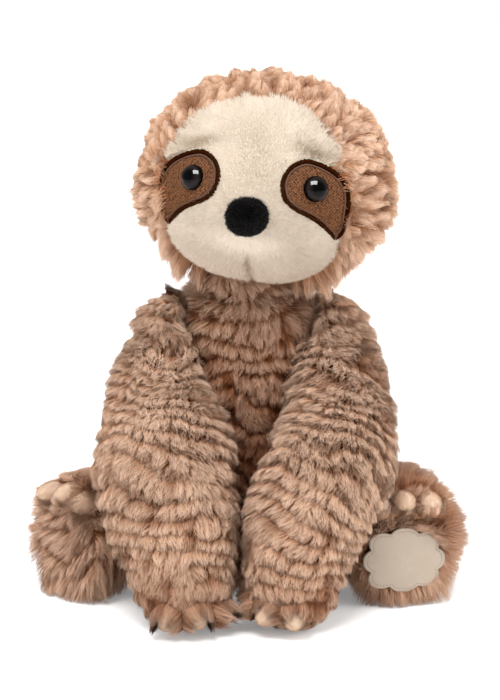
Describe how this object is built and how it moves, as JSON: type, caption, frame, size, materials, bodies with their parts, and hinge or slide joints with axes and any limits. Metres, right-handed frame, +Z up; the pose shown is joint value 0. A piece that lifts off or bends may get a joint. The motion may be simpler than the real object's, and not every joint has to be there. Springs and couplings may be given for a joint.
{
  "type": "plush sloth",
  "caption": "Soft plush sloth that sits with its long arms hanging in front, with a cream face, stuffed claws and a scalloped patch under one foot.",
  "frame": {"origin": "on the floor, under the middle of the body, on the flat of its underside", "axes": "+Z up, -Y the way the body faces, +X the toy's own left side"},
  "size_m": [0.2027, 0.1421, 0.2509],
  "materials": {
    "brown_fur": "long wavy plush pile, taupe brown",
    "cream_plush": "short soft plush, cream",
    "patch_cloth": "brown woven cloth",
    "patch_thread": "dark brown satin stitch",
    "black_flock": "black flock on plastic",
    "eye_gloss": "glossy black",
    "washer_plastic": "natural white moulded plastic",
    "cream_claw": "smooth short velour, cream",
    "beige_leather": "grained beige imitation leather",
    "white_filling": "loose white fibre",
    "pellet_cloth": "plain white lining",
    "neck_cloth": "plain knitted backing, brown"
  },
  "bodies": {
    "body": {"torso_cover": "brown_fur", "torso_stuffing": "white_filling", "pellet_bag": "pellet_cloth"},
    "neck": {"neck_band": "neck_cloth"},
    "head": {"head_cover": "brown_fur", "face_panel": "cream_plush", "head_stuffing": "white_filling", "eye_left": "eye_gloss", "eye_right": "eye_gloss", "eye_washer_left": "washer_plastic", "eye_washer_right": "washer_plastic", "eye_patch_left": "patch_cloth", "eye_patch_right": "patch_cloth", "eye_patch_edge_left": "patch_thread", "eye_patch_edge_right": "patch_thread", "nose": "black_flock", "nose_washer": "washer_plastic", "mouth_thread": "patch_thread"},
    "arm_left": {"arm_cover_left": "brown_fur", "arm_stuffing_left": "white_filling", "hand_claw_left_1": "cream_claw", "hand_claw_left_2": "cream_claw", "hand_claw_left_3": "cream_claw"},
    "arm_right": {"arm_cover_right": "brown_fur", "arm_stuffing_right": "white_filling", "hand_claw_right_1": "cream_claw", "hand_claw_right_2": "cream_claw", "hand_claw_right_3": "cream_claw"},
    "leg_left": {"leg_cover_left": "brown_fur", "leg_stuffing_left": "white_filling", "foot_claw_left_1": "cream_claw", "foot_claw_left_2": "cream_claw", "foot_claw_left_3": "cream_claw", "foot_patch": "beige_leather"},
    "leg_right": {"leg_cover_right": "brown_fur", "leg_stuffing_right": "white_filling", "foot_claw_right_1": "cream_claw", "foot_claw_right_2": "cream_claw", "foot_claw_right_3": "cream_claw"}
  },
  "joints": [
    {"name": "head_turn", "type": "hinge", "parent": "body", "child": "neck", "pos_m": [0, 0, 0.15], "axis": [0, 0, 1], "range_deg": [-30, 30], "stiffness_Nm_per_rad": 0.3},
    {"name": "head_nod", "type": "hinge", "parent": "neck", "child": "head", "pos_m": [0, 0, 0.15], "axis": [0.9903, -0.1392, 0], "range_deg": [-12, 12], "stiffness_Nm_per_rad": 0.6},
    {"name": "arm_swing_left", "type": "hinge", "parent": "body", "child": "arm_left", "pos_m": [0.0295, -0.002, 0.124], "axis": [-1, 0, 0], "range_deg": [0, 60]},
    {"name": "arm_swing_right", "type": "hinge", "parent": "body", "child": "arm_right", "pos_m": [-0.0295, -0.002, 0.124], "axis": [-1, 0, 0], "range_deg": [0, 60]},
    {"name": "leg_swing_left", "type": "hinge", "parent": "body", "child": "leg_left", "pos_m": [0.0425, 0, 0.03], "axis": [1, 0, 0], "range_deg": [0, 80], "stiffness_Nm_per_rad": 0.2},
    {"name": "leg_swing_right", "type": "hinge", "parent": "body", "child": "leg_right", "pos_m": [-0.0425, 0, 0.03], "axis": [1, 0, 0], "range_deg": [0, 80], "stiffness_Nm_per_rad": 0.2}
  ]
}
